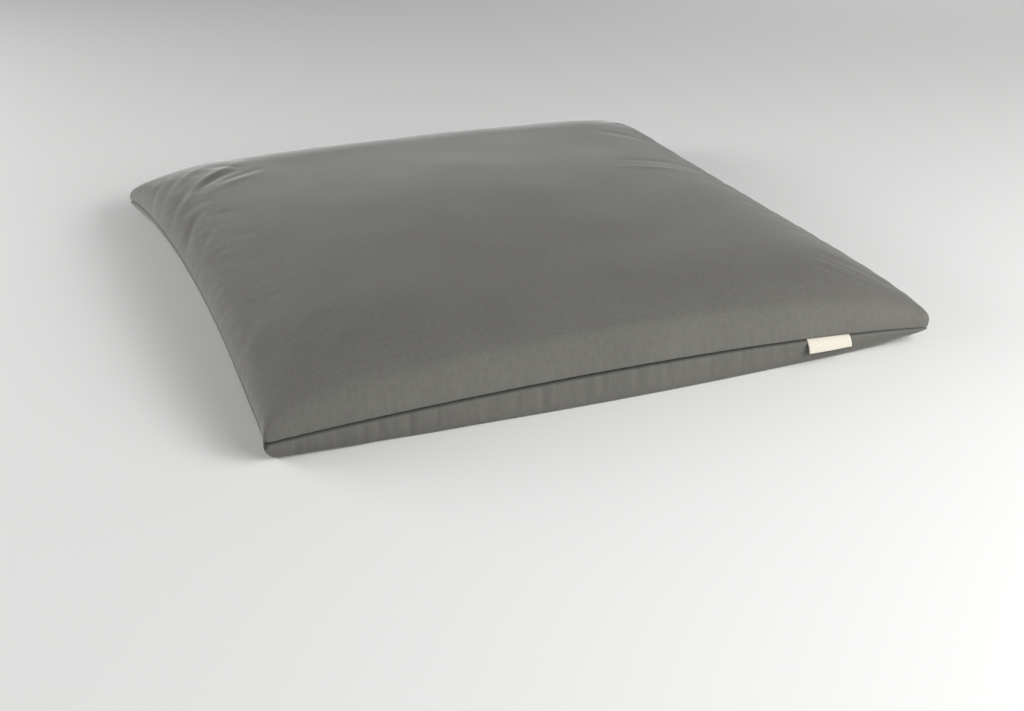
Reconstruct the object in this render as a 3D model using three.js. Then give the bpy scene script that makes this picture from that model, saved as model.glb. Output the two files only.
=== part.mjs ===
import * as THREE from "three";

// A filled floor mat with a seam round its rim and a folded ribbon label in the front seam.
// Millimetres, +Z up, the front edge along X, the origin under the middle on the floor.

// Plan: corner to corner along the seam, and how far the middle of each side is drawn in
const SIDE = 800;
const HALF = SIDE / 2;
const DRAW_IN = { front: 0, left: 13.7, right: 24, back: 22 };
const DRAW_IN_POWER = 0.75;
const CORNER_ROUND = {
  frontLeft: 1.2, frontRight: 5.2, backLeft: 3.5, backRight: 3.5,
  front: 3.5, left: 3.5, right: 3.5, back: 3.5,
};
const CORNER_SHARPNESS = 40;

// The left side is drawn in just before the front left corner, so that the corner stands out
const EAR_WAIST = 3.1;
const EAR_REACH = 23;

// Values at the corners, at the middles of the sides and, where it differs, under the crown
const SEAM_HEIGHT = {
  frontLeft: 22.7, frontRight: 16.8, backLeft: 18, backRight: 23,
  front: 35.7, left: 52, right: 42.2, back: 48.8, middle: 44.5,
};
const UPPER_WALL = {
  frontLeft: 21.4, frontRight: 17.8, backLeft: 11.4, backRight: 24,
  front: 21.6, left: 15.4, right: 8.3, back: 12.2,
};
const UPPER_BULGE = {
  frontLeft: 4, frontRight: 6.3, backLeft: 4, backRight: 4,
  front: -3.7, left: 0, right: 6.5, back: 4,
};
const LOWER_WALL = {
  frontLeft: 20.1, frontRight: 4.3, backLeft: 11.8, backRight: 10,
  front: 17.7, left: 11.5, right: 11.5, back: 11.5,
};
const LOWER_BULGE = {
  frontLeft: -13.7, frontRight: -17.6, backLeft: -7.5, backRight: -7.5,
  front: 12.2, left: -19, right: -12, back: -12,
};
const GROOVE_DEPTH = {
  frontLeft: 3.4, frontRight: 2.5, backLeft: 4, backRight: 3,
  front: 5.5, left: 4, right: 4, back: 4,
};
const SIDE_POWER = 0.8;

// Upper panel: a short wall above the seam, then a crown that rises over CROWN_REACH
const UPPER_WALL_REACH = 25.8;
const UPPER_BULGE_REACH = 30;
const SWELL_SCALE = 1.72;
const CROWN = 45.3;
const CROWN_REACH = { front: 180, left: 124, right: 140, back: 129 };
const CROWN_FULLNESS = { front: 2.88, left: 2.12, right: 2.12, back: 2.12 };
const CROWN_STEEPNESS = 0.665;
const CROWN_FALL = 0.116;

// Lower panel: a short wall under the seam, then a turn under to the floor
const LOWER_WALL_REACH = {
  frontLeft: 6.4, frontRight: 31.7, backLeft: 25.8, backRight: 25.8,
  front: 25.8, left: 25.8, right: 25.8, back: 25.8,
};
const LOWER_BULGE_PEAK = 15;
const LOWER_BULGE_REACH = {
  frontLeft: 75, frontRight: 75, backLeft: 75, backRight: 75,
  front: 30, left: 33, right: 40, back: 30,
};
const TURN_UNDER = 45;
const TURN_REACH = 91;
const TURN_FULLNESS = 2;
const TURN_STEEPNESS = 0.5;
const FLOOR_BLEND = 1;

// Seam: a groove all round, where the two panels are drawn into the stitching. Its half width
// is measured along the cloth, which leaves the seam with a bend of RIM_RADIUS
const GROOVE_HALF_WIDTH = 2.6;
const RIM_RADIUS = 25;
const CORNER_BLEND = 2.1;
const RIM_TURN = 6;
const LOWER_TURN_SPREAD = 0.8;

// Panel lines, closer together towards the rim, and the last one that the underside needs
const LINES = 28;
const LINE_CROWDING = 2.4;
const LAST_UNDER_LINE = 13;

// Soft creases of the upper panel, most of them across the back left corner: a curve from one
// point past another to a third, the height of the fold, below 0 for a trough, and its half width
const CREASES = [
  { from: [-394, 345], past: [-388, 330], to: [-372, 338], height: -1.6, width: 6 },
  { from: [-392, 285], past: [-388, 322], to: [-360, 352], height: 1.2, width: 6 },
  { from: [-390, 236], past: [-383, 264], to: [-354, 312], height: -1.7, width: 6 },
  { from: [-389, 222], past: [-376, 264], to: [-346, 306], height: 1.2, width: 6 },
  { from: [-389, 184], past: [-375, 228], to: [-340, 284], height: -1.7, width: 7 },
  { from: [-385, 160], past: [-374, 262], to: [-288, 303], height: 1.6, width: 8 },
  { from: [-383, 128], past: [-362, 190], to: [-338, 226], height: -1.5, width: 7 },
  { from: [-381, 110], past: [-350, 214], to: [-250, 288], height: 2.4, width: 8 },
  { from: [-353, 177], past: [-327, 216], to: [-262, 246], height: -2.4, width: 10 },
  { from: [-305, 198], past: [-276, 212], to: [-232, 242], height: -0.9, width: 7 },
  { from: [-325, 168], past: [-276, 200], to: [-236, 226], height: 0.7, width: 9 },
  { from: [-386, 28], past: [-382, 64], to: [-345, 118], height: -3, width: 6 },
  { from: [-376, -18], past: [-361, 22], to: [-340, 52], height: -0.6, width: 6 },
  { from: [-370, -25], past: [-353, 17], to: [-334, 46], height: 0.5, width: 6 },
  { from: [-388, -271], past: [-371, -237], to: [-350, -215], height: -0.7, width: 8 },
  { from: [-392, -330], past: [-380, -262], to: [-345, -235], height: 0.9, width: 9 },
  { from: [-388, -372], past: [-376, -319], to: [-355, -290], height: -0.8, width: 9 },
  { from: [335, 62], past: [275, 80], to: [215, 89], height: -0.5, width: 8 },
  { from: [330, 22], past: [257, 54], to: [195, 58], height: 0.5, width: 8 },
  { from: [325, 208], past: [293, 222], to: [262, 245], height: -0.8, width: 11 },
];
const CREASE_STEPS = 24;
const CREASE_FADE_IN = 0.12;
const CREASE_LEAN_REACH = 60;

// Label: a ribbon folded in two, standing out of the seam and drooping over the lower panel
const LABEL_WIDTH = 57;
const LABEL_LENGTH_LEFT = 17.5;
const LABEL_LENGTH_RIGHT = 14.5;
const LABEL_THICKNESS = 1;
const LABEL_MIDDLE_X = 253;
const LABEL_START_ANGLE = 32;
const LABEL_END_ANGLE = 82;
const LABEL_STEPS = 10;
const LABEL_ACROSS = 8;
const LABEL_SAG = 0.8;
const LABEL_SEAT = 1.3;

const clamp01 = (t) => Math.min(Math.max(t, 0), 1);

// A quarter circle rise: steep at 0, level at 1
function quarterRound(t) {
  const s = 1 - clamp01(t);
  return Math.sqrt(1 - s * s);
}

// A bulge that starts fast, is 1 at its fullest and ends level
function swell(t) {
  const s = clamp01(t);
  return SWELL_SCALE * Math.sin(Math.PI * s) * (1 - s);
}

// 1 at the peak; 0 at the rim and from the reach on
function riseAndFall(distance, peak, reach) {
  const rising = Math.sin((Math.PI / 2) * clamp01(distance / peak));
  return rising * Math.cos((Math.PI / 2) * clamp01((distance - peak) / (reach - peak)));
}

function roundedRise(distance, reach, fullness, steepness) {
  return (1 - (1 - clamp01(distance / reach)) ** fullness) ** steepness;
}

// u and v run from -1 to 1 across the panel; the sides' values fade out towards the middle
function blend(values, u, v) {
  const right = (1 + u) / 2;
  const back = (1 + v) / 2;
  const corners =
    values.frontLeft * (1 - right) * (1 - back) + values.frontRight * right * (1 - back) +
    values.backLeft * (1 - right) * back + values.backRight * right * back;
  const alongX = (1 - u * u) ** SIDE_POWER * v * v;
  const alongY = (1 - v * v) ** SIDE_POWER * u * u;
  const inside = ((1 - u * u) * (1 - v * v)) ** 2;
  const frontOrBack = (v < 0 ? values.front : values.back) - corners;
  const leftOrRight = (u < 0 ? values.left : values.right) - corners;
  const middle = (values.middle ?? corners) - corners;
  return corners + frontOrBack * alongX + leftOrRight * alongY + middle * inside;
}

function planPoint(u, v) {
  const fromCorner = ((1 - Math.abs(v)) * HALF) / EAR_REACH;
  const ear = u < 0 && v < 0 ? EAR_WAIST * fromCorner * Math.exp(1 - fromCorner) : 0;
  const inX = (u < 0 ? DRAW_IN.left : DRAW_IN.right) * (1 - v * v) ** DRAW_IN_POWER + ear;
  const inY = (v < 0 ? DRAW_IN.front : DRAW_IN.back) * (1 - u * u) ** DRAW_IN_POWER;
  const corner = blend(CORNER_ROUND, u, v) * Math.abs(u * v) ** CORNER_SHARPNESS;
  const x = u * (HALF - inX * u * u) - Math.sign(u) * corner;
  return [x, v * (HALF - inY * v * v) - Math.sign(v) * corner];
}

// Distances from the rim, and the level direction that points out of the mat there
function rim(u, v, spread = 0) {
  const acrossX = (1 - Math.abs(u)) * HALF;
  const acrossY = (1 - Math.abs(v)) * HALF;
  const onSeam = Math.min(acrossX, acrossY) === 0;
  const both = Math.exp(-acrossX / CORNER_BLEND) + Math.exp(-acrossY / CORNER_BLEND);
  const distance = onSeam ? 0 : Math.max(0, -CORNER_BLEND * Math.log(both));
  const angle = Math.atan(Math.exp((acrossX - acrossY) / (RIM_TURN + spread * distance)));
  const outward = [Math.sign(u) * Math.cos(angle), Math.sign(v) * Math.sin(angle)];
  return { acrossX, acrossY, distance, outward };
}

function grooveAt(u, v, distance) {
  const alongCloth = Math.sqrt(2 * RIM_RADIUS * distance);
  const opening = Math.sin((Math.PI / 2) * clamp01(alongCloth / GROOVE_HALF_WIDTH));
  return blend(GROOVE_DEPTH, u, v) * (1 - opening);
}

const creaseCurves = CREASES.map((crease) => {
  const [from, past, to] = [crease.from, crease.past, crease.to].map((p) => new THREE.Vector2(...p));
  const points = new THREE.QuadraticBezierCurve(from, past, to).getPoints(CREASE_STEPS);
  return { ...crease, points };
});

// How far a crease raises or lowers the upper panel at a point of the plan
function creaseRise(crease, x, y) {
  let nearest = Infinity;
  let along = 0;
  for (let i = 0; i < CREASE_STEPS; i++) {
    const a = crease.points[i];
    const b = crease.points[i + 1];
    const step = b.clone().sub(a);
    const t = clamp01(((x - a.x) * step.x + (y - a.y) * step.y) / step.lengthSq());
    const gap = Math.hypot(x - a.x - t * step.x, y - a.y - t * step.y);
    if (gap < nearest) [nearest, along] = [gap, (i + t) / CREASE_STEPS];
  }
  const fade = Math.sin(Math.PI * (CREASE_FADE_IN + (1 - CREASE_FADE_IN) * along));
  return crease.height * Math.exp(-((nearest / crease.width) ** 2)) * fade;
}

function upperPoint(u, v) {
  const [x, y] = planPoint(u, v);
  const { acrossX, acrossY, distance, outward } = rim(u, v);
  const seam = blend(SEAM_HEIGHT, u, v);
  const groove = grooveAt(u, v, distance);
  if (distance === 0) return [x - outward[0] * groove, y - outward[1] * groove, seam];
  const wall = blend(UPPER_WALL, u, v) * quarterRound(distance / UPPER_WALL_REACH);
  const [sideX, sideY] = [u < 0 ? "left" : "right", v < 0 ? "front" : "back"];
  const rise =
    roundedRise(acrossX, CROWN_REACH[sideX], CROWN_FULLNESS[sideX], CROWN_STEEPNESS) *
    roundedRise(acrossY, CROWN_REACH[sideY], CROWN_FULLNESS[sideY], CROWN_STEEPNESS);
  const crown = CROWN * rise * (1 - CROWN_FALL * (u * u + v * v));
  const out = blend(UPPER_BULGE, u, v) * swell(distance / UPPER_BULGE_REACH) - groove;
  const lean = 1 - clamp01(distance / CREASE_LEAN_REACH);
  const fold =
    quarterRound(distance / UPPER_WALL_REACH) *
    creaseCurves.reduce((sum, crease) => sum + creaseRise(crease, x, y), 0);
  const along = fold / Math.hypot(1, lean);
  const shift = out + along * lean;
  return [x + outward[0] * shift, y + outward[1] * shift, seam + wall + crown + along];
}

function lowerPoint(u, v) {
  const [x, y] = planPoint(u, v);
  const { acrossX, acrossY, distance, outward } = rim(u, v, LOWER_TURN_SPREAD);
  const turn =
    roundedRise(acrossX, TURN_REACH, TURN_FULLNESS, TURN_STEEPNESS) *
    roundedRise(acrossY, TURN_REACH, TURN_FULLNESS, TURN_STEEPNESS);
  const wall = blend(LOWER_WALL, u, v) * quarterRound(distance / blend(LOWER_WALL_REACH, u, v));
  const height = blend(SEAM_HEIGHT, u, v) - wall - TURN_UNDER * turn;
  const eased = (height + FLOOR_BLEND) ** 2 / (4 * FLOOR_BLEND);
  const z = height >= FLOOR_BLEND ? height : height <= -FLOOR_BLEND ? 0 : eased;
  const bulgeReach = blend(LOWER_BULGE_REACH, u, v);
  const bulge = blend(LOWER_BULGE, u, v) * riseAndFall(distance, LOWER_BULGE_PEAK, bulgeReach);
  const out = bulge - grooveAt(u, v, distance);
  return [x + outward[0] * out, y + outward[1] * out, z];
}

// Panel coordinates of the lines, from one rim to the other
function lineCoordinates() {
  const half = Array.from({ length: LINES + 1 }, (_, i) => 1 - (i / LINES) ** LINE_CROWDING);
  return [...half.map((c) => -c), ...half.slice(0, -1).reverse()];
}

function geometryFrom(vertices, triangles) {
  const geometry = new THREE.BufferGeometry();
  geometry.setAttribute("position", new THREE.Float32BufferAttribute(vertices.flat(), 3));
  geometry.setIndex(triangles);
  geometry.computeVertexNormals();
  return geometry;
}

// Both panels share the vertices of the seam; the flat middle of the underside is one fan
function matGeometry() {
  const lines = lineCoordinates();
  const count = lines.length;
  const last = count - 1;
  const vertices = [];
  const triangles = [];
  const upper = lines.map((v) => lines.map((u) => vertices.push(upperPoint(u, v)) - 1));
  const isSeam = (i, j) => i === 0 || j === 0 || i === last || j === last;
  const isInner = (i) => i > LAST_UNDER_LINE && i < last - LAST_UNDER_LINE;
  const lower = lines.map((v, j) =>
    lines.map((u, i) => {
      if (isSeam(i, j)) return upper[j][i];
      return isInner(i) && isInner(j) ? -1 : vertices.push(lowerPoint(u, v)) - 1;
    }),
  );
  const quad = (a, b, c, d) => triangles.push(a, b, c, a, c, d);
  for (let j = 0; j < last; j++) {
    for (let i = 0; i < last; i++) {
      // The diagonals point to the corners, so that the rounded corners stay even
      const turned = i < last / 2 === j < last / 2;
      const [a, b, c, d] = [upper[j][i], upper[j][i + 1], upper[j + 1][i + 1], upper[j + 1][i]];
      if (turned) quad(a, b, c, d);
      else quad(b, c, d, a);
      const [e, f, g, h] = [lower[j][i], lower[j][i + 1], lower[j + 1][i + 1], lower[j + 1][i]];
      if ([e, f, g, h].includes(-1) || isFlatMiddle(i, j, last)) continue;
      if (turned) quad(e, h, g, f);
      else quad(f, e, h, g);
    }
  }
  const first = LAST_UNDER_LINE;
  const end = last - LAST_UNDER_LINE;
  const border = [];
  for (let k = first; k < end; k++) border.push(lower[first][k]);
  for (let k = first; k < end; k++) border.push(lower[k][end]);
  for (let k = end; k > first; k--) border.push(lower[end][k]);
  for (let k = end; k > first; k--) border.push(lower[k][first]);
  const middle = vertices.push([0, 0, 0]) - 1;
  border.forEach((a, k) => triangles.push(middle, border[(k + 1) % border.length], a));
  return geometryFrom(vertices, triangles);
}

function isFlatMiddle(i, j, last) {
  const inside = (k) => k >= LAST_UNDER_LINE && k < last - LAST_UNDER_LINE;
  return inside(i) && inside(j);
}

// The label's section leaves the groove at a slant and bends down. It starts LABEL_SEAT out of
// the seam and is a little longer at its left end
function labelSection(length) {
  const section = [];
  const half = LABEL_THICKNESS / 2;
  const step = length / LABEL_STEPS;
  let out = LABEL_SEAT;
  let drop = 0;
  for (let k = 0; k <= LABEL_STEPS; k++) {
    const degrees = THREE.MathUtils.lerp(LABEL_START_ANGLE, LABEL_END_ANGLE, k / LABEL_STEPS);
    const angle = THREE.MathUtils.degToRad(degrees);
    section.push({ out, drop, acrossOut: Math.sin(angle) * half, acrossUp: Math.cos(angle) * half });
    out += Math.cos(angle) * step;
    drop += Math.sin(angle) * step;
  }
  return [
    ...section.map((s) => [s.out + s.acrossOut, s.acrossUp - s.drop]),
    ...section.map((s) => [s.out - s.acrossOut, -s.acrossUp - s.drop]).reverse(),
  ];
}

function labelGeometry() {
  const vertices = [];
  const triangles = [];
  const around = 2 * (LABEL_STEPS + 1);
  for (let i = 0; i <= LABEL_ACROSS; i++) {
    const t = i / LABEL_ACROSS;
    const length = THREE.MathUtils.lerp(LABEL_LENGTH_LEFT, LABEL_LENGTH_RIGHT, t);
    const x = LABEL_MIDDLE_X + (t - 0.5) * LABEL_WIDTH;
    const [, seamY, seamZ] = upperPoint(x / HALF, -1);
    labelSection(length).forEach(([out, z]) => {
      const sag = LABEL_SAG * Math.sin(Math.PI * t) * (out / length);
      vertices.push([x, seamY - out, seamZ + z - sag]);
    });
  }
  for (let i = 0; i < LABEL_ACROSS; i++) {
    for (let k = 0; k < around; k++) {
      const a = i * around + k;
      const b = i * around + ((k + 1) % around);
      triangles.push(a, b, b + around, a, b + around, a + around);
    }
  }
  const end = LABEL_ACROSS * around;
  for (let k = 0; k < LABEL_STEPS; k++) {
    const [a, b, c, d] = [k, k + 1, around - 2 - k, around - 1 - k];
    triangles.push(a, c, b, a, d, c);
    triangles.push(end + a, end + b, end + c, end + a, end + c, end + d);
  }
  return geometryFrom(vertices, triangles);
}

function clothMaterial(color, roughness) {
  return new THREE.MeshStandardMaterial({ color, roughness, metalness: 0 });
}

const mat = new THREE.Mesh(matGeometry(), clothMaterial(0x6e6d69, 0.9));
mat.name = "mat";

const label = new THREE.Mesh(labelGeometry(), clothMaterial(0xe4dccb, 0.8));
label.name = "label";

const meditationMat = new THREE.Group();
meditationMat.add(mat, label);

export default meditationMat;
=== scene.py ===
"""A filled cotton floor mat with a seam round its rim and a folded ribbon label in the front seam.

Millimetres until a mesh is made, which is in metres. The mat's frame has its origin on the floor
under the middle, +X along the front edge and +Z up.
"""
import math

import bpy
import numpy as np
from mathutils import Matrix, Vector, noise


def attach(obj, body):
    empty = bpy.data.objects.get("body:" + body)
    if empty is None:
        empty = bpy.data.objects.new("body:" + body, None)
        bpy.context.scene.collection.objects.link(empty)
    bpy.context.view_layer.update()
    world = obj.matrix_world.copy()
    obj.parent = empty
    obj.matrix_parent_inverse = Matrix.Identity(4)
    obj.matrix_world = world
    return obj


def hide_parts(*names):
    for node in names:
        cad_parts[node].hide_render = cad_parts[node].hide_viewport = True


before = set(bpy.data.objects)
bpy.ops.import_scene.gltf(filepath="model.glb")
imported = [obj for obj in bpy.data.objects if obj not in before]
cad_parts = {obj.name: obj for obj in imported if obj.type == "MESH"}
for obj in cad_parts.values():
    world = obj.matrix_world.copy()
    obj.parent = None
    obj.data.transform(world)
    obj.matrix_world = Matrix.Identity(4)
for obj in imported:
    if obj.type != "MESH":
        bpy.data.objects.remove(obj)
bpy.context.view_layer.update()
MM = 0.001

# Every random draw starts from this number
SEED = 11

# The least length that anything is divided by
NOT_ZERO = 1e-12

# Plan: corner to corner along the seam, and how far the middle of each side is drawn in
SIDE = 800
HALF = SIDE / 2
DRAW_IN = {"front": 0, "left": 13.7, "right": 24, "back": 22}
DRAW_IN_POWER = 0.75

# How far each corner is rounded back; the sharper, the nearer to its tip the rounding starts
CORNER_ROUND = {
    "front_left": 1.2, "front_right": 5.2, "back_left": 3.5, "back_right": 3.5,
    "front": 3.5, "left": 3.5, "right": 3.5, "back": 3.5,
}
CORNER_SHARPNESS = 40

# The left side is drawn in just before the front left corner, so that the corner stands out
EAR_WAIST = 3.1
EAR_REACH = 23

# Values at the corners, at the middles of the sides and, where it differs, under the crown: the
# seam's height, how high the walls above and below it are, how far they bulge out, and how deep
# the seam's groove is
SEAM_HEIGHT = {
    "front_left": 22.7, "front_right": 16.8, "back_left": 18, "back_right": 23,
    "front": 35.7, "left": 52, "right": 42.2, "back": 48.8, "middle": 44.5,
}
UPPER_WALL = {
    "front_left": 21.4, "front_right": 17.8, "back_left": 11.4, "back_right": 24,
    "front": 21.6, "left": 15.4, "right": 8.3, "back": 12.2,
}
UPPER_BULGE = {
    "front_left": 4, "front_right": 6.3, "back_left": 4, "back_right": 4,
    "front": -3.7, "left": 0, "right": 6.5, "back": 4,
}
LOWER_WALL = {
    "front_left": 20.1, "front_right": 4.3, "back_left": 11.8, "back_right": 10,
    "front": 17.7, "left": 11.5, "right": 11.5, "back": 11.5,
}
LOWER_BULGE = {
    "front_left": -13.7, "front_right": -17.6, "back_left": -7.5, "back_right": -7.5,
    "front": 12.2, "left": -19, "right": -12, "back": -12,
}
GROOVE_DEPTH = {
    "front_left": 3.4, "front_right": 2.5, "back_left": 4, "back_right": 3,
    "front": 5.5, "left": 4, "right": 4, "back": 4,
}

# How fast the value of a side's middle gives way to those of its corners
SIDE_POWER = 0.8

# Upper panel: a short wall above the seam, then a crown that rises over CROWN_REACH and loses
# CROWN_FALL of its height towards the sides. SWELL_SCALE brings a bulge's fullest place to 1
UPPER_WALL_REACH = 25.8
UPPER_BULGE_REACH = 30
SWELL_SCALE = 1.72
CROWN = 45.3
CROWN_REACH = {"front": 180, "left": 124, "right": 140, "back": 129}
CROWN_FULLNESS = {"front": 2.88, "left": 2.12, "right": 2.12, "back": 2.12}
CROWN_STEEPNESS = 0.665
CROWN_FALL = 0.116

# Lower panel: a short wall under the seam, then a turn under to the floor, which it eases into
# over FLOOR_BLEND
LOWER_WALL_REACH = {
    "front_left": 6.4, "front_right": 31.7, "back_left": 25.8, "back_right": 25.8,
    "front": 25.8, "left": 25.8, "right": 25.8, "back": 25.8,
}
LOWER_BULGE_PEAK = 15
LOWER_BULGE_REACH = {
    "front_left": 75, "front_right": 75, "back_left": 75, "back_right": 75,
    "front": 30, "left": 33, "right": 40, "back": 30,
}
TURN_UNDER = 45
TURN_REACH = 91
FLOOR_BLEND = 1

# Seam: half the width of its groove along the cloth, and how round the cloth is at the rim
GROOVE_HALF_WIDTH = 2.6
RIM_RADIUS = 25

# At a corner: how far the distance from the rim is rounded off, and over how far the way out of
# the mat turns from one side's to the next. On the lower panel this grows by LOWER_TURN_SPREAD
# for each mm in from the rim. At RIM_TURN_LIMIT the turn is long over
CORNER_BLEND = 2.1
RIM_TURN = 6
LOWER_TURN_SPREAD = 0.8
RIM_TURN_LIMIT = 50

# Lines of the fine mesh and of the simulated one, from the rim to the middle of a panel, and how
# they crowd towards the rim. The fine mesh has more lines at the seam, in mm from it, and its
# underside is one face from UNDERSIDE_FLAT_FROM inwards
FINE_LINES = 118
FINE_CROWDING = 1.15
SEAM_LINES = (0.003, 0.01, 0.025, 0.05, 0.09, 0.15, 0.23, 0.34, 0.58, 1)
UNDERSIDE_FLAT_FROM = 70
COARSE_LINES = 44
COARSE_CROWDING = 1.5

# Camera: a real place in metres and angles in degrees, the lens and the sensor in mm. They give
# the photograph's view in a 1024 by 711 picture
CAMERA_PLACE = (-0.6567, -1.6424, 0.7081)
CAMERA_YAW = 22.766
CAMERA_PITCH = 25.171
CAMERA_ROLL = 0.443
SENSOR_WIDTH = 36
CAMERA_LENS = 51.17


def clamp01(t):
    return np.clip(t, 0, 1)


def bell(distance, width):
    """1 at no distance, and soon nothing beyond the width."""
    return np.exp(-((distance / width) ** 2))


def quarter_round(t):
    """A quarter circle rise: steep at 0, level at 1."""
    return np.sqrt(1 - (1 - clamp01(t)) ** 2)


def swell(t):
    """A bulge that starts fast, is 1 at its fullest and ends level."""
    t = clamp01(t)
    return SWELL_SCALE * np.sin(math.pi * t) * (1 - t)


def rise_and_fall(distance, peak, reach):
    """1 at the peak; 0 at the rim and from the reach on."""
    rising = np.sin(math.pi / 2 * clamp01(distance / peak))
    return rising * np.cos(math.pi / 2 * clamp01((distance - peak) / (reach - peak)))


def rounded_rise(distance, reach, fullness, steepness):
    """From 0 at the rim to 1 at the reach.

    More fullness levels it off sooner, and the less the steepness is, the more upright it starts.
    """
    return (1 - (1 - clamp01(distance / reach)) ** fullness) ** steepness


def blend(values, u, v):
    """Values between the corners, the sides' middles and the middle of the mat.

    u and v run from -1 to 1 across the panel, to the right and to the back.
    """
    right, back = (1 + u) / 2, (1 + v) / 2
    front_corners = values["front_left"] * (1 - right) + values["front_right"] * right
    back_corners = values["back_left"] * (1 - right) + values["back_right"] * right
    corners = front_corners * (1 - back) + back_corners * back
    in_u, in_v = 1 - u * u, 1 - v * v
    front_or_back = np.where(v < 0, values["front"], values["back"]) - corners
    left_or_right = np.where(u < 0, values["left"], values["right"]) - corners
    middle = values.get("middle", corners) - corners
    sides = front_or_back * in_u**SIDE_POWER * v * v + left_or_right * in_v**SIDE_POWER * u * u
    return corners + sides + middle * (in_u * in_v) ** 2


def plan(u, v):
    """Places on the floor: a square with its sides drawn in and its corners rounded."""
    in_x = np.where(u < 0, DRAW_IN["left"], DRAW_IN["right"]) * (1 - v * v) ** DRAW_IN_POWER
    in_y = np.where(v < 0, DRAW_IN["front"], DRAW_IN["back"]) * (1 - u * u) ** DRAW_IN_POWER
    from_corner = (1 - np.abs(v)) * HALF / EAR_REACH
    in_x = in_x + np.where((u < 0) & (v < 0), EAR_WAIST, 0) * from_corner * np.exp(1 - from_corner)
    corner = blend(CORNER_ROUND, u, v) * np.abs(u * v) ** CORNER_SHARPNESS
    x = u * (HALF - in_x * u * u) - np.sign(u) * corner
    y = v * (HALF - in_y * v * v) - np.sign(v) * corner
    return x, y


class Rim:
    """Distances from the rim in the plan, and the level direction that points out of the mat."""

    def __init__(self, u, v, spread=0):
        self.across_x = (1 - np.abs(u)) * HALF
        self.across_y = (1 - np.abs(v)) * HALF
        self.on_seam = np.minimum(self.across_x, self.across_y) <= 0
        both = np.exp(-self.across_x / CORNER_BLEND) + np.exp(-self.across_y / CORNER_BLEND)
        distance = np.maximum(0, -CORNER_BLEND * np.log(both))
        self.distance = np.where(self.on_seam, 0, distance)
        towards_y = (self.across_x - self.across_y) / (RIM_TURN + spread * self.distance)
        towards_y = np.clip(towards_y, -RIM_TURN_LIMIT, RIM_TURN_LIMIT)
        angle = np.arctan(np.exp(towards_y))
        self.out_x = np.sign(u) * np.cos(angle)
        self.out_y = np.sign(v) * np.sin(angle)
        self.along_cloth = np.sqrt(2 * RIM_RADIUS * self.distance)


def groove(u, v, rim):
    """How far the stitches of the seam draw the cloth in."""
    opening = np.sin(math.pi / 2 * clamp01(rim.along_cloth / GROOVE_HALF_WIDTH))
    return blend(GROOVE_DEPTH, u, v) * (1 - opening)


def upper_panel(u, v):
    """A short wall above the seam, then the crown."""
    x, y = plan(u, v)
    rim = Rim(u, v)
    wall = blend(UPPER_WALL, u, v) * quarter_round(rim.distance / UPPER_WALL_REACH)
    sides = (
        (u < 0, "left", rim.across_x),
        (u >= 0, "right", rim.across_x),
        (v < 0, "front", rim.across_y),
        (v >= 0, "back", rim.across_y),
    )
    rise = 1
    for here, side, across in sides:
        side_rise = rounded_rise(across, CROWN_REACH[side], CROWN_FULLNESS[side], CROWN_STEEPNESS)
        rise = rise * np.where(here, side_rise, 1)
    crown = CROWN * rise * (1 - CROWN_FALL * (u * u + v * v))
    bulge = blend(UPPER_BULGE, u, v) * swell(rim.distance / UPPER_BULGE_REACH)
    out = bulge - groove(u, v, rim)
    z = blend(SEAM_HEIGHT, u, v) + np.where(rim.on_seam, 0, wall + crown)
    return np.stack([x + rim.out_x * out, y + rim.out_y * out, z], -1)


def lower_panel(u, v):
    """A short wall under the seam, then a turn under to the flat underside."""
    x, y = plan(u, v)
    rim = Rim(u, v, LOWER_TURN_SPREAD)
    turn = quarter_round(rim.across_x / TURN_REACH) * quarter_round(rim.across_y / TURN_REACH)
    wall = blend(LOWER_WALL, u, v) * quarter_round(rim.distance / blend(LOWER_WALL_REACH, u, v))
    seam = blend(SEAM_HEIGHT, u, v)
    height = seam - wall - TURN_UNDER * turn
    eased = (height + FLOOR_BLEND) ** 2 / (4 * FLOOR_BLEND)
    z = np.where(height >= FLOOR_BLEND, height, np.where(height <= -FLOOR_BLEND, 0, eased))
    z = np.where(rim.on_seam, seam, z)
    bulge_reach = blend(LOWER_BULGE_REACH, u, v)
    bulge = blend(LOWER_BULGE, u, v) * rise_and_fall(rim.distance, LOWER_BULGE_PEAK, bulge_reach)
    out = bulge - groove(u, v, rim)
    return np.stack([x + rim.out_x * out, y + rim.out_y * out, z], -1)


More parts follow.
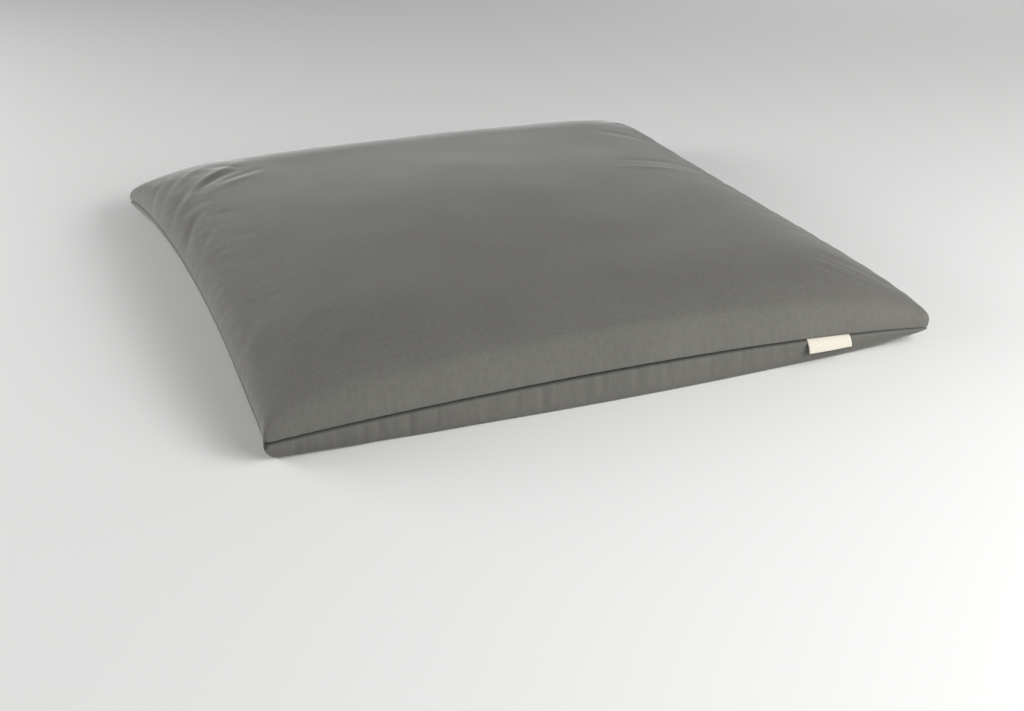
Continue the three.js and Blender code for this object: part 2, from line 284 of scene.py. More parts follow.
# Creases of the upper panel, most of them across the back left corner: a curve from one point
# past another to a third, the height of the fold, below 0 for a trough, and its half width
CREASES = (
    {"from": (-394, 345), "past": (-388, 330), "to": (-372, 338), "height": -1.6, "width": 6},
    {"from": (-392, 285), "past": (-388, 322), "to": (-360, 352), "height": 1.2, "width": 6},
    {"from": (-390, 236), "past": (-383, 264), "to": (-354, 312), "height": -1.7, "width": 6},
    {"from": (-389, 222), "past": (-376, 264), "to": (-346, 306), "height": 1.2, "width": 6},
    {"from": (-389, 184), "past": (-375, 228), "to": (-340, 284), "height": -1.7, "width": 7},
    {"from": (-385, 160), "past": (-374, 262), "to": (-288, 303), "height": 1.6, "width": 8},
    {"from": (-383, 128), "past": (-362, 190), "to": (-338, 226), "height": -1.5, "width": 7},
    {"from": (-381, 110), "past": (-350, 214), "to": (-250, 288), "height": 2.4, "width": 8},
    {"from": (-353, 177), "past": (-327, 216), "to": (-262, 246), "height": -2.4, "width": 10},
    {"from": (-305, 198), "past": (-276, 212), "to": (-232, 242), "height": -0.9, "width": 7},
    {"from": (-325, 168), "past": (-276, 200), "to": (-236, 226), "height": 0.7, "width": 9},
    {"from": (-386, 28), "past": (-382, 64), "to": (-345, 118), "height": -3, "width": 6},
    {"from": (-376, -18), "past": (-361, 22), "to": (-340, 52), "height": -0.6, "width": 6},
    {"from": (-370, -25), "past": (-353, 17), "to": (-334, 46), "height": 0.5, "width": 6},
    {"from": (-388, -271), "past": (-371, -237), "to": (-350, -215), "height": -0.7, "width": 8},
    {"from": (-392, -330), "past": (-380, -262), "to": (-345, -235), "height": 0.9, "width": 9},
    {"from": (-388, -372), "past": (-376, -319), "to": (-355, -290), "height": -0.8, "width": 9},
    {"from": (335, 62), "past": (275, 80), "to": (215, 89), "height": -0.5, "width": 8},
    {"from": (330, 22), "past": (257, 54), "to": (195, 58), "height": 0.5, "width": 8},
    {"from": (325, 208), "past": (293, 222), "to": (262, 245), "height": -0.8, "width": 11},
)

# Straight steps that each curve is followed in, and how far into its rise a crease starts
CREASE_STEPS = 24
CREASE_FADE_IN = 0.12


def curve_points(start, past, end, steps):
    """Points of a curve that leaves one point, bends past another and ends at a third."""
    t = np.linspace(0, 1, steps + 1)[:, None]
    start, past, end = (np.array(p, float) for p in (start, past, end))
    return (1 - t) ** 2 * start + 2 * t * (1 - t) * past + t * t * end


def nearest_on_curve(points, x, y):
    """Distance to a run of points, and how far along it, from 0 to 1."""
    nearest = np.full(x.shape, np.inf)
    along = np.zeros(x.shape)
    steps = len(points) - 1
    for i in range(steps):
        (ax, ay), (bx, by) = points[i], points[i + 1]
        dx, dy = bx - ax, by - ay
        t = clamp01(((x - ax) * dx + (y - ay) * dy) / (dx * dx + dy * dy))
        gap = np.hypot(x - ax - t * dx, y - ay - t * dy)
        along = np.where(gap < nearest, (i + t) / steps, along)
        nearest = np.minimum(gap, nearest)
    return nearest, along


def crease_rise(crease, x, y):
    """How far a crease lifts the cloth; it starts low, and dies out at its other end."""
    points = curve_points(crease["from"], crease["past"], crease["to"], CREASE_STEPS)
    distance, along = nearest_on_curve(points, x, y)
    fade = np.sin(math.pi * (CREASE_FADE_IN + (1 - CREASE_FADE_IN) * along))
    return crease["height"] * bell(distance, crease["width"]) * fade


# Puckers: short upright folds that the stitching pulls into the cloth. Those of the front band
# are given as place along the edge, width, depth and length; the others are irregular
BAND_PUCKERS = (
    (-365, 3, 1.4, 16), (-335, 3, 1, 13), (-321, 5, 1, 18), (-296, 3, 1.4, 13),
    (-279, 4, 1.4, 16), (-246, 3.5, 2.7, 24), (-217, 3, 2, 16), (-207, 3, 1.2, 13),
    (-162, 6, 1.4, 22), (-129, 4, 1.6, 18), (-99, 3.5, 2.6, 24), (-50, 4.5, 1.6, 18),
    (-31, 3.5, 1.6, 16), (11, 4, 1.8, 14), (33, 3.5, 1, 20), (48, 5, 1.8, 24),
    (76, 4, 1.2, 16), (99, 5, 1.4, 20), (141, 5, 1.5, 20), (170, 4, 1.2, 16),
    (193, 4, 1.4, 14),
)

# Least and largest spacing, width, depth and length of the irregular ones
PUCKER_SPACING = (7, 26)
PUCKER_WIDTH = (2.5, 6)
PUCKER_DEPTH = (0.1, 0.4)
PUCKER_LENGTH = (16, 48)

# Closer to the seam than about this, the stitches hold the cloth level
STITCH_HOLD = 1.5

# The lower panel's puckers and corner seams fade out over this height above the floor
CLEAR_OF_FLOOR = 8


def irregular_puckers(seed):
    """Puckers along one side: place, width, depth and length of each."""
    random = np.random.default_rng(seed)
    puckers = []
    place = -HALF + random.uniform(*PUCKER_SPACING)
    while place < HALF - PUCKER_SPACING[0]:
        sizes = [random.uniform(*span) for span in (PUCKER_WIDTH, PUCKER_DEPTH, PUCKER_LENGTH)]
        puckers.append((place, *sizes))
        place += random.uniform(*PUCKER_SPACING)
    return puckers


def pucker_depth(u, v, rim, seed, front):
    """How far the puckers pull the cloth in, all round the rim."""
    x, y = plan(u, v)
    sides = (
        (x, rim.across_y, v < 0, front),
        (x, rim.across_y, v > 0, irregular_puckers(seed)),
        (y, rim.across_x, u < 0, irregular_puckers(seed + 1)),
        (y, rim.across_x, u > 0, irregular_puckers(seed + 2)),
    )
    depth = np.zeros(u.shape)
    for along, across, here, puckers in sides:
        down_cloth = np.sqrt(across**2 + 2 * RIM_RADIUS * across)
        free_of_stitches = 1 - np.exp(-down_cloth / STITCH_HOLD)
        for place, width, deep, length in puckers:
            fold = deep * bell(along - place, width)
            depth += np.where(here, fold * (bell(down_cloth, length) * free_of_stitches), 0)
    return depth


# Unevenness of the filling under the cloth: soft lumps all over, and small ones near the rim
LUMP_WIDTH = 90
LUMP_HEIGHT = 0.7
RIM_LUMP_WIDTH = 18
RIM_LUMP_HEIGHT = 0.8
RIM_LUMP_REACH = 55


def uneven(x, y, width):
    """Soft irregular hills of about this width, between about -1 and 1."""
    places = np.stack([x, y, np.full(x.shape, SEED)], -1).reshape(-1, 3) / width
    return np.array([noise.noise(place) for place in places.tolist()]).reshape(x.shape)


def lumps(x, y, rim):
    """How far the filling lifts the cloth, or lets it sink."""
    all_over = LUMP_HEIGHT * uneven(x, y, LUMP_WIDTH)
    near_rim = RIM_LUMP_HEIGHT * bell(rim.distance, RIM_LUMP_REACH)
    return all_over + near_rim * uneven(x, y, RIM_LUMP_WIDTH)


# How much the seam's painted shade darkens the cloth's colour where it is drawn into the stitches,
# at most 1, and how far out of them it reaches
SEAM_PAINTED_SHADE = {
    "front_left": 0.85, "front_right": 0.1, "back_left": 0.5, "back_right": 0.5,
    "front": 0.85, "left": 0.5, "right": 0.5, "back": 0.5,
}
SEAM_PAINTED_SHADE_REACH = 1.2


def painted_seam_shade(u, v):
    """How much painted shade darkens each point of the cloth, in and near the seam."""
    return blend(SEAM_PAINTED_SHADE, u, v) * bell(Rim(u, v).along_cloth, SEAM_PAINTED_SHADE_REACH)


# Corner seams: the lower panel is boxed, so a short upright seam runs down each corner
CORNER_SEAM_DEPTH = 1.3
CORNER_SEAM_HALF_WIDTH = 1.8
CORNER_SEAM_PEAK = 4
CORNER_SEAM_REACH = 26


def corner_seam(rim):
    """How far the corners' short seams draw the lower panel in."""
    beside_seam = bell(rim.across_x - rim.across_y, CORNER_SEAM_HALF_WIDTH)
    down_corner = rise_and_fall(rim.distance, CORNER_SEAM_PEAK, CORNER_SEAM_REACH)
    return CORNER_SEAM_DEPTH * beside_seam * down_corner


def line_coordinates(count, crowding, seam_lines=()):
    """Panel coordinates from -1 to 1, closer together towards the rim."""
    distances = HALF * (np.arange(count + 1) / count) ** crowding
    distances = np.sort(np.concatenate([distances, seam_lines]))
    half = 1 - distances / HALF
    return np.concatenate([-half, half[:-1][::-1]])


def grid_faces(count):
    """Quads of a count by count grid of points, turned so that they face up."""
    index = np.arange(count * count).reshape(count, count)
    return np.stack([index[:-1, :-1], index[:-1, 1:], index[1:, 1:], index[1:, :-1]], -1)


class Shell:
    """A closed mat mesh: an upper grid and a lower grid that share the points of the seam."""

    def __init__(self, lines):
        self.lines = lines
        self.count = len(lines)
        self.u, self.v = np.meshgrid(lines, lines)
        index = np.arange(self.count**2).reshape(self.count, self.count)
        edge = np.zeros(index.shape, bool)
        edge[[0, -1], :] = True
        edge[:, [0, -1]] = True
        lower = index + self.count**2
        lower[edge] = index[edge]
        self.edge = edge
        self.lower_index = lower

    def faces(self):
        """Upper quads, then lower quads with the flat middle of the underside as one face."""
        upper = grid_faces(self.count).reshape(-1, 4)
        first = np.searchsorted(self.lines, UNDERSIDE_FLAT_FROM / HALF - 1)
        last = self.count - 1 - first
        round_the_middle = np.ones((self.count - 1, self.count - 1), bool)
        round_the_middle[first:last, first:last] = False
        lower = self.lower_index.reshape(-1)[grid_faces(self.count)[round_the_middle]][:, ::-1]
        block = self.lower_index[first : last + 1, first : last + 1]
        border = [*block[0, :-1], *block[:-1, -1], *block[-1, :0:-1], *block[:0:-1, 0]]
        return upper.tolist() + lower.tolist() + [[int(point) for point in border[::-1]]]

    def mesh(self, name, upper, lower):
        """A mesh object from both panels' points, with the flat cloth's own metres as its UV map.

        Also gives the grid points that the mesh has, and each grid point's number in the mesh.
        """
        points = np.concatenate([upper.reshape(-1, 3), lower.reshape(-1, 3)]) * MM
        faces = self.faces()
        corners = np.concatenate(faces)
        used = np.unique(corners)
        renumber = np.zeros(len(points), int)
        renumber[used] = np.arange(len(used))
        mesh = bpy.data.meshes.new(name)
        mesh.from_pydata(points[used].tolist(), [], [renumber[face].tolist() for face in faces])
        flat_cloth = np.stack([self.u, self.v], -1).reshape(-1, 2) * HALF * MM
        uvs = np.tile(flat_cloth, (2, 1))[corners].astype(np.float32)
        mesh.uv_layers.new(name="cloth").data.foreach_set("uv", uvs.reshape(-1))
        mesh.polygons.foreach_set("use_smooth", np.ones(len(faces), bool))
        mesh.update()
        piece = bpy.data.objects.new(name, mesh)
        bpy.context.scene.collection.objects.link(piece)
        return piece, used, renumber


# Cloth simulation on a coarse shell: the filling presses the cloth out and the cloth, cut a
# little larger than the form, settles into shallow wrinkles between the pinned seams. The
# solver's figures are chosen by the look and not measured
SIM_FRAMES = 20
SIM_EXTRA_CLOTH = 0.003
SIM_CLOTH = {
    "quality": 5,
    "mass": 0.3,
    "tension_stiffness": 25,
    "compression_stiffness": 25,
    "shear_stiffness": 15,
    "bending_stiffness": 0.4,
    "use_pressure": True,
    "uniform_pressure_force": 3,
    "shrink_min": -SIM_EXTRA_CLOTH,
}

# The cloth is held near the seam and where it is this close to the floor, and moves SIM_CAP at most
PIN_REACH = 7
ON_FLOOR = 1.5
SIM_CAP = 0.7


def pin_cloth(piece, hold):
    """Holds each point of the mesh, from 0 for free to 1 for fixed."""
    group = piece.vertex_groups.new(name="held")
    for point, held in enumerate(hold.tolist()):
        group.add([point], held, "REPLACE")
    return group.name


def vertex_places(mesh):
    """Places of a mesh's points, in metres."""
    places = np.zeros(len(mesh.vertices) * 3)
    mesh.vertices.foreach_get("co", places)
    return places.reshape(-1, 3)


def settle(piece, pins):
    """Runs the simulation, and gives how far each point of the mesh moves, in metres."""
    start = vertex_places(piece.data)
    cloth = piece.modifiers.new("cloth", "CLOTH")
    for setting, value in SIM_CLOTH.items():
        setattr(cloth.settings, setting, value)
    cloth.settings.vertex_group_mass = pins
    cloth.settings.effector_weights.gravity = 0
    cloth.collision_settings.use_collision = False
    scene = bpy.context.scene
    scene.frame_start, scene.frame_end = 1, SIM_FRAMES
    cloth.point_cache.frame_start, cloth.point_cache.frame_end = 1, SIM_FRAMES
    for number in range(1, SIM_FRAMES + 1):
        scene.frame_set(number)
    settled = piece.evaluated_get(bpy.context.evaluated_depsgraph_get()).to_mesh()
    end = vertex_places(settled)
    scene.frame_set(1)
    return end - start


def simulated_moves():
    """How far each point of the coarse upper and lower panel moves, in millimetres."""
    shell = Shell(line_coordinates(COARSE_LINES, COARSE_CROWDING))
    upper, lower = upper_panel(shell.u, shell.v), lower_panel(shell.u, shell.v)
    piece, used, renumber = shell.mesh("cloth_under_test", upper, lower)
    hold_upper = bell(Rim(shell.u, shell.v).distance, PIN_REACH)
    hold_lower = np.where(lower[..., 2] < ON_FLOOR, 1, hold_upper)
    hold = np.concatenate([hold_upper.reshape(-1), hold_lower.reshape(-1)])[used]
    moves = settle(piece, pin_cloth(piece, hold)) / MM
    bpy.data.objects.remove(piece)
    length = np.linalg.norm(moves, axis=1, keepdims=True)
    moves *= SIM_CAP * np.tanh(length / SIM_CAP) / np.maximum(length, NOT_ZERO)
    every = np.zeros((2 * shell.count**2, 3))
    every[used] = moves[renumber[used]]
    every_upper = every[: shell.count**2].reshape(shell.count, shell.count, 3)
    every_lower = every[shell.lower_index.reshape(-1)].reshape(shell.count, shell.count, 3)
    return every_upper, every_lower


def resample_weights(fine_lines):
    """Weights of a smooth curve through the coarse lines' values, one row for each fine line."""
    from_rim = COARSE_LINES * (1 - np.abs(fine_lines)) ** (1 / COARSE_CROWDING)
    place = np.sign(fine_lines) * (COARSE_LINES - from_rim) + COARSE_LINES
    last = 2 * COARSE_LINES
    base = np.clip(np.floor(place).astype(int), 0, last - 1)
    t = place - base
    taps = (
        (-1, -0.5 * t + t**2 - 0.5 * t**3),
        (0, 1 - 2.5 * t**2 + 1.5 * t**3),
        (1, 0.5 * t + 2 * t**2 - 1.5 * t**3),
        (2, -0.5 * t**2 + 0.5 * t**3),
    )
    weights = np.zeros((len(fine_lines), last + 1))
    rows = np.arange(len(fine_lines))
    for offset, weight in taps:
        np.add.at(weights, (rows, np.clip(base + offset, 0, last)), weight)
    return weights


def panel_normals(points):
    """Unit normals of a grid of points, upwards for the upper panel."""
    along_u = np.gradient(points, axis=1)
    along_v = np.gradient(points, axis=0)
    normal = np.cross(along_u, along_v)
    return normal / np.maximum(np.linalg.norm(normal, axis=-1, keepdims=True), NOT_ZERO)


def mat_points(shell):
    """Both panels of the finished mat: form, settled cloth, creases, puckers and lumps."""
    u, v = shell.u, shell.v
    upper, lower = upper_panel(u, v), lower_panel(u, v)
    rim = Rim(u, v)
    x, y = plan(u, v)
    up, down = panel_normals(upper), -panel_normals(lower)
    fade = quarter_round(rim.distance / UPPER_WALL_REACH)
    rise = fade * (sum(crease_rise(crease, x, y) for crease in CREASES) + lumps(x, y, rim))
    rise = rise - pucker_depth(u, v, rim, SEED, irregular_puckers(SEED + 3))
    dent = pucker_depth(u, v, rim, SEED + 4, BAND_PUCKERS) + corner_seam(rim)
    dent = clamp01(lower[..., 2] / CLEAR_OF_FLOOR) * dent
    move_upper, move_lower = simulated_moves()
    weights = resample_weights(shell.lines)
    upper = upper + np.einsum("ij,jkc,lk->ilc", weights, move_upper, weights)
    lower = lower + np.einsum("ij,jkc,lk->ilc", weights, move_lower, weights)
    upper = upper + up * np.where(shell.edge, 0, rise)[..., None]
    lower = lower - down * np.where(shell.edge, 0, dent)[..., None]
    lower[..., 2] = np.maximum(lower[..., 2], 0)
    return upper, lower


def srgb(hex_colour):
    """An sRGB hex value as linear red, green, blue and alpha."""
    channels = [int(hex_colour[i : i + 2], 16) / 255 for i in (1, 3, 5)]
    linear = [c / 12.92 if c <= 0.04045 else ((c + 0.055) / 1.055) ** 2.4 for c in channels]
    return (*linear, 1)


def add_node(tree, kind, inputs=None, **settings):
    """A node with its settings; each input gets a value, or the output that feeds it."""
    node = tree.nodes.new("ShaderNode" + kind)
    for name, value in settings.items():
        setattr(node, name, value)
    for name, value in (inputs or {}).items():
        if isinstance(value, bpy.types.NodeSocket):
            tree.links.new(value, node.inputs[name])
        else:
            node.inputs[name].default_value = value
    return node


def new_material(name):
    """A material and its node tree, which is empty."""
    material = bpy.data.materials.new(name)
    material.use_nodes = True
    tree = material.node_tree
    tree.nodes.clear()
    return material, tree


# The cotton's darker and lighter tone, and the near black of the painted shade down in the stitches
COTTON_DARK = "#5d5c58"
COTTON_LIGHT = "#696863"
PAINTED_SEAM_SHADE_TONE = "#1c1c1a"


def set_tones(ramp, low, dark, high, light):
    """A colour ramp from a dark tone at low to a light one at high."""
    first, last = ramp.color_ramp.elements
    first.position, first.color = low, srgb(dark)
    last.position, last.color = high, srgb(light)
    return ramp.outputs[0]


# Plain weave of single cotton yarns. The real yarns are 0.35 mm apart, too fine to show, so they
# are drawn twice as coarse. Slubs are the thicker stretches of a yarn. The dye took unevenly, in
# small mottles and wide clouds
YARN_SPACING = 0.7
SLUB_LENGTH = 18
SLUB_WIDTH = 1.8
MOTTLE = 5
DYE_CLOUD = 110

# Where the cloth starts in each uneven pattern, so that no two patterns are alike
PATTERN_START = {"weft": 3.7, "warp": 9.1, "clouds": 5.3, "mottles": 7.9, "specks": 2.3}

# How much each pattern counts in the cotton's tone, and from where to where the tone goes from
# dark to light
SLUB_TONE = 0.12
MOTTLE_TONE = 0.32
DYE_CLOUD_TONE = 0.2
COTTON_TONES_FROM = 0.22
COTTON_TONES_TO = 0.54

# Relief of the cotton in mm, and how much of it shows
SLUB_RELIEF = 0.2
SLUB_RELIEF_SHOWN = 0.3
YARN_RELIEF = 0.05
YARN_RELIEF_SHOWN = 0.2


def uneven_pattern(tree, cloth, along_x, along_y, start):
    """Irregular marks of about this size on the cloth: streaks where the sizes differ."""
    stretched = add_node(tree, "Mapping", {
        "Vector": cloth, "Location": (start, start, 0),
        "Scale": (1 / (along_x * MM), 1 / (along_y * MM), 1)}).outputs[0]
    marks = add_node(tree, "TexNoise", {
        "Vector": stretched, "Scale": 1, "Detail": 2, "Roughness": 0.55}, noise_dimensions="2D")
    return marks.outputs["Fac"]


def thread_waves(tree, cloth, spacing):
    """Even waves, one for each thread: X across the cloth and Y down it."""
    pitch = 2 * math.pi / (spacing * MM)
    turned = add_node(tree, "VectorMath", {0: cloth, 1: (pitch, pitch, 0)}, operation="MULTIPLY")
    waves = add_node(tree, "VectorMath", {0: turned.outputs[0]}, operation="SINE")
    return add_node(tree, "SeparateXYZ", {"Vector": waves.outputs[0]}).outputs


def washed_cotton():
    """Piece-dyed plain cotton, washed soft: matt, with a faint bloom where it turns away, and
    painted shade along the seam.
    """
    material, tree = new_material("washed_grey_cotton")
    cloth = add_node(tree, "UVMap", uv_map="cloth").outputs[0]
    weft = uneven_pattern(tree, cloth, SLUB_LENGTH, SLUB_WIDTH, PATTERN_START["weft"])
    warp = uneven_pattern(tree, cloth, SLUB_WIDTH, SLUB_LENGTH, PATTERN_START["warp"])
    slubs = add_node(tree, "Math", {0: weft, 1: warp}, operation="ADD").outputs[0]
    clouds = uneven_pattern(tree, cloth, DYE_CLOUD, DYE_CLOUD, PATTERN_START["clouds"])
    mottles = uneven_pattern(tree, cloth, MOTTLE, MOTTLE, PATTERN_START["mottles"])
    tone = 0
    for pattern, share in ((slubs, SLUB_TONE), (mottles, MOTTLE_TONE), (clouds, DYE_CLOUD_TONE)):
        more = add_node(tree, "Math", {0: pattern, 1: share, 2: tone}, operation="MULTIPLY_ADD")
        tone = more.outputs[0]
    ramp = add_node(tree, "ValToRGB", {"Fac": tone})
    dyed = set_tones(ramp, COTTON_TONES_FROM, COTTON_DARK, COTTON_TONES_TO, COTTON_LIGHT)
    # Painted shade: along the seam the dyed tone is mixed towards a near black, in place of the
    # groove's shadow
    shade = add_node(tree, "Attribute", attribute_name="painted_seam_shade").outputs["Fac"]
    colour = add_node(tree, "MixRGB", {
        "Fac": shade, "Color1": dyed, "Color2": srgb(PAINTED_SEAM_SHADE_TONE)}).outputs[0]
    threads = thread_waves(tree, cloth, YARN_SPACING)
    weave = add_node(tree, "Math", {0: threads["X"], 1: threads["Y"]}, operation="MULTIPLY")
    slub_relief = add_node(tree, "Bump", {
        "Height": slubs, "Strength": SLUB_RELIEF_SHOWN, "Distance": SLUB_RELIEF * MM})
    relief = add_node(tree, "Bump", {
        "Height": weave.outputs[0], "Normal": slub_relief.outputs[0],
        "Strength": YARN_RELIEF_SHOWN, "Distance": YARN_RELIEF * MM})
    shader = add_node(tree, "BsdfPrincipled", {
        "Base Color": colour, "Normal": relief.outputs[0], "Roughness": 0.88, "IOR": 1.5,
        "Specular IOR Level": 0.25,
        "Sheen Weight": 0.5, "Sheen Roughness": 0.28, "Sheen Tint": (1, 1, 1, 1)})
    add_node(tree, "OutputMaterial", {"Surface": shader.outputs[0]})
    return material


# Ribbon: crosswise ribs, drawn at their real 0.6 mm, with specks in the undyed cotton
RIB_SPACING = 0.6
RIB_RELIEF = 0.08
RIB_RELIEF_SHOWN = 0.3
SPECK_LENGTH = 1.4
SPECK_WIDTH = 0.7
RIBBON_DARK = "#c1bbab"
RIBBON_LIGHT = "#d1ccc0"
RIBBON_TONES_FROM = 0.3
RIBBON_TONES_TO = 0.7


def woven_ribbon():
    """Undyed cotton ribbon: fine crosswise ribs and small specks, matt."""
    material, tree = new_material("undyed_woven_ribbon")
    cloth = add_node(tree, "UVMap", uv_map="cloth").outputs[0]
    ribs = thread_waves(tree, cloth, RIB_SPACING)["Y"]
    specks = uneven_pattern(tree, cloth, SPECK_LENGTH, SPECK_WIDTH, PATTERN_START["specks"])
    ramp = add_node(tree, "ValToRGB", {"Fac": specks})
    colour = set_tones(ramp, RIBBON_TONES_FROM, RIBBON_DARK, RIBBON_TONES_TO, RIBBON_LIGHT)
    relief = add_node(tree, "Bump", {
        "Height": ribs, "Strength": RIB_RELIEF_SHOWN, "Distance": RIB_RELIEF * MM})
    shader = add_node(tree, "BsdfPrincipled", {
        "Base Color": colour, "Normal": relief.outputs[0], "Roughness": 0.75, "IOR": 1.5,
        "Sheen Weight": 0.1, "Sheen Roughness": 0.4})
    add_node(tree, "OutputMaterial", {"Surface": shader.outputs[0]})
    return material


FLOOR_TONE = "#e2e2e1"


def matt_floor():
    """Matt floor paint: pale and even, so that the mat's soft shadow shows on it."""
    material, tree = new_material("matt_pale_floor")
    shader = add_node(tree, "BsdfPrincipled", {
        "Base Color": srgb(FLOOR_TONE), "Roughness": 0.9, "Specular IOR Level": 0.2})
    add_node(tree, "OutputMaterial", {"Surface": shader.outputs[0]})
    return material


def make_mat():
    """The filled cover, one closed mesh."""
    shell = Shell(line_coordinates(FINE_LINES, FINE_CROWDING, SEAM_LINES))
    upper, lower = mat_points(shell)
    piece, used, _ = shell.mesh("cotton_mat", upper, lower)
    # Painted shade for the seam, stored on the mesh's points for the cotton's colour
    shade = np.tile(painted_seam_shade(shell.u, shell.v).reshape(-1), 2)[used].astype(np.float32)
    piece.data.attributes.new("painted_seam_shade", "FLOAT", "POINT").data.foreach_set("value", shade)
    piece.data.materials.append(washed_cotton())
    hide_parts("mat")
    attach(piece, "root")


# Label: a ribbon folded in two, standing out of the seam and drooping over the lower panel. Its
# two layers lie LABEL_GAP apart, and half-way down they part by this share more, LABEL_PUFF. It
# starts LABEL_SEAT out of the bottom of the seam's groove, at the start angle, in degrees below
# level, and its middle hangs up to LABEL_SAG lower than its ends. The last two count the mesh's
# steps down a layer and across the ribbon
LABEL_WIDTH = 57
LABEL_LENGTH_LEFT = 17.5
LABEL_LENGTH_RIGHT = 14.5
LABEL_LAYER = 0.35
LABEL_GAP = 0.25
LABEL_PUFF = 0.5
LABEL_MIDDLE_X = 253
LABEL_START_ANGLE = 32
LABEL_END_ANGLE = 82
LABEL_SEAT = 1.3
LABEL_SAG = 0.8
LABEL_STEPS = 26
LABEL_ACROSS = 40


def label_section(length):
    """The ribbon's middle line: down the front layer, round the fold and back up."""
    step = length / LABEL_STEPS
    angles = np.radians(np.linspace(LABEL_START_ANGLE, LABEL_END_ANGLE, LABEL_STEPS + 1))
    out = LABEL_SEAT + np.concatenate([[0], np.cumsum(np.cos(angles[:-1]) * step)])
    drop = np.concatenate([[0], np.cumsum(np.sin(angles[:-1]) * step)])
    half = (LABEL_LAYER + LABEL_GAP) / 2
    puff = LABEL_PUFF * np.sin(math.pi * np.linspace(0, 1, LABEL_STEPS + 1)) ** 2
    apart = half * (1 + puff)
    front = np.stack([out + np.sin(angles) * apart, np.cos(angles) * apart - drop], -1)
    rear = np.stack([out - np.sin(angles) * apart, -np.cos(angles) * apart - drop], -1)
    tip = np.array([out[-1] + np.cos(angles[-1]) * half, -drop[-1] - np.sin(angles[-1]) * half])
    return np.concatenate([front, tip[None], rear[::-1]])


def label_loop(length):
    """The section's outline with the ribbon's thickness, and how far along it each point is."""
    section = label_section(length)
    ahead = np.gradient(section, axis=0)
    ahead /= np.linalg.norm(ahead, axis=1, keepdims=True)
    side = np.stack([-ahead[:, 1], ahead[:, 0]], -1) * LABEL_LAYER / 2
    along = np.concatenate([[0], np.cumsum(np.linalg.norm(np.diff(section, axis=0), axis=1))])
    loop = np.concatenate([section + side, (section - side)[::-1]])
    return loop, np.concatenate([along, along[::-1]])


def label_points():
    """Points and UV places of the label's loops, from its left end to its right one."""
    points, uvs = [], []
    for place in np.linspace(0, 1, LABEL_ACROSS + 1):
        length = LABEL_LENGTH_LEFT + (LABEL_LENGTH_RIGHT - LABEL_LENGTH_LEFT) * place
        loop, along = label_loop(length)
        across = (place - 0.5) * LABEL_WIDTH
        x = LABEL_MIDDLE_X + across
        seam = upper_panel(np.array([x / HALF]), np.array([-1.0]))[0]
        sag = LABEL_SAG * math.sin(math.pi * place) * loop[:, 0] / length
        for (out, up), drop in zip(loop, sag):
            points.append((x * MM, (seam[1] - out) * MM, (seam[2] + up - drop) * MM))
        uvs += [(across * MM, down * MM) for down in along]
    return points, uvs


def label_faces(around):
    """Quads between the loops, which have this many points each, and across both end loops."""
    faces = []
    for i in range(LABEL_ACROSS):
        for k in range(around):
            a, b = i * around + k, i * around + (k + 1) % around
            faces.append((a, a + around, b + around, b))
    for start in (0, LABEL_ACROSS * around):
        for k in range(around // 2 - 1):
            quad = (start + k, start + k + 1, start + around - 2 - k, start + around - 1 - k)
            faces.append(quad if start == 0 else quad[::-1])
    return faces


def make_label():
    """The folded ribbon, one closed mesh."""
    points, uvs = label_points()
    faces = label_faces(len(points) // (LABEL_ACROSS + 1))
    mesh = bpy.data.meshes.new("ribbon_label")
    mesh.from_pydata(points, [], faces)
    layer = mesh.uv_layers.new(name="cloth")
    for polygon in mesh.polygons:
        for corner in polygon.loop_indices:
            layer.data[corner].uv = uvs[mesh.loops[corner].vertex_index]
    mesh.polygons.foreach_set("use_smooth", np.ones(len(faces), bool))
    mesh.update()
    piece = bpy.data.objects.new("ribbon_label", mesh)
    bpy.context.scene.collection.objects.link(piece)
    piece.data.materials.append(woven_ribbon())
    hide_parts("label")
    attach(piece, "root")
    flat = (LABEL_WIDTH * MM, label_loop(LABEL_LENGTH_LEFT)[1].max() * MM)


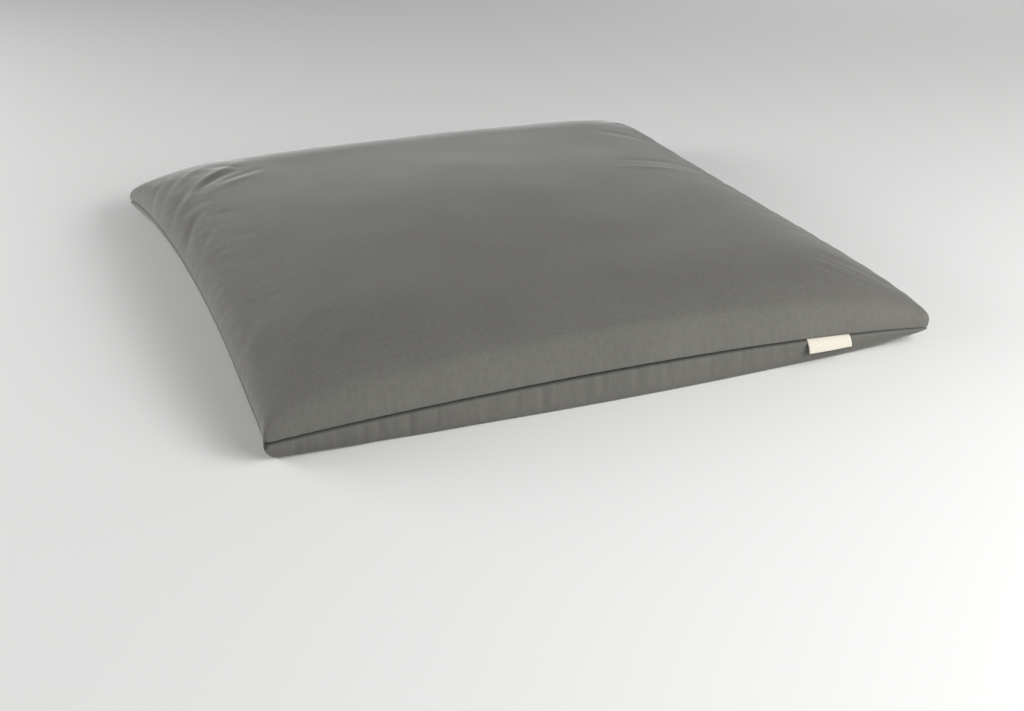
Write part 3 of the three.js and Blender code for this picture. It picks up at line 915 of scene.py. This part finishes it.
def make_camera():
    """Turned to the right by the yaw, down by the pitch, and leaned by the roll."""
    yaw, pitch, roll = (math.radians(a) for a in (CAMERA_YAW, CAMERA_PITCH, CAMERA_ROLL))
    forward = math.cos(pitch)
    ahead = Vector((math.sin(yaw) * forward, math.cos(yaw) * forward, -math.sin(pitch)))
    right = Vector((math.cos(yaw), -math.sin(yaw), 0))
    above = right.cross(ahead)
    turned_right = right * math.cos(roll) + above * math.sin(roll)
    turned_up = above * math.cos(roll) - right * math.sin(roll)
    data = bpy.data.cameras.new("camera")
    data.sensor_width = SENSOR_WIDTH
    data.lens = CAMERA_LENS
    camera = bpy.data.objects.new("camera", data)
    bpy.context.scene.collection.objects.link(camera)
    place = Matrix((turned_right, turned_up, -ahead)).transposed().to_4x4()
    place.translation = Vector(CAMERA_PLACE)
    camera.matrix_world = place
    bpy.context.scene.camera = camera


# Studio, in metres: a wide floor, a dim even light, and soft lights of one size that all stand
# equally far from the mat. Each has its angle round from the front towards the right and its
# height, both in degrees, and its watts
FLOOR_WIDTH = 12
EVEN_LIGHT = 0.2
SOFTBOX_AWAY = 2.6
SOFTBOX_WIDTH = 1.8
SOFTBOX_HEIGHT = 1.0
SOFTBOXES = {
    "front": (24, 25, 45),
    "front_right": (50, 35, 30),
    "left": (-90, 20, 18),
    "behind_left": (-120, 12, 48),
    "behind_right": (130, 15, 5),
}


def softbox(name, round_from_front, height_angle, watts):
    """A soft light that faces the mat."""
    turn, lift = math.radians(round_from_front), math.radians(height_angle)
    level = math.cos(lift)
    towards_light = Vector((math.sin(turn) * level, -math.cos(turn) * level, math.sin(lift)))
    place = towards_light * SOFTBOX_AWAY
    data = bpy.data.lights.new(name, "AREA")
    data.shape = "RECTANGLE"
    data.size, data.size_y = SOFTBOX_WIDTH, SOFTBOX_HEIGHT
    data.energy = watts
    lamp = bpy.data.objects.new(name, data)
    lamp.location = place
    lamp.rotation_euler = (-place).to_track_quat("-Z", "Y").to_euler()
    bpy.context.scene.collection.objects.link(lamp)


def make_studio():
    """The floor and the lights, and a picture that keeps their tones as they are."""
    bpy.ops.mesh.primitive_plane_add(size=FLOOR_WIDTH)
    floor = bpy.context.object
    floor.name = "floor"
    floor.data.materials.append(matt_floor())
    world = bpy.data.worlds.new("studio")
    world.use_nodes = True
    background = world.node_tree.nodes["Background"]
    background.inputs["Color"].default_value = (1, 1, 1, 1)
    background.inputs["Strength"].default_value = EVEN_LIGHT
    bpy.context.scene.world = world
    for name, figures in SOFTBOXES.items():
        softbox(name, *figures)
    scene = bpy.context.scene
    scene.view_settings.view_transform = "Standard"
    scene.view_settings.look = "None"


make_camera()
make_mat()
make_label()
make_studio()
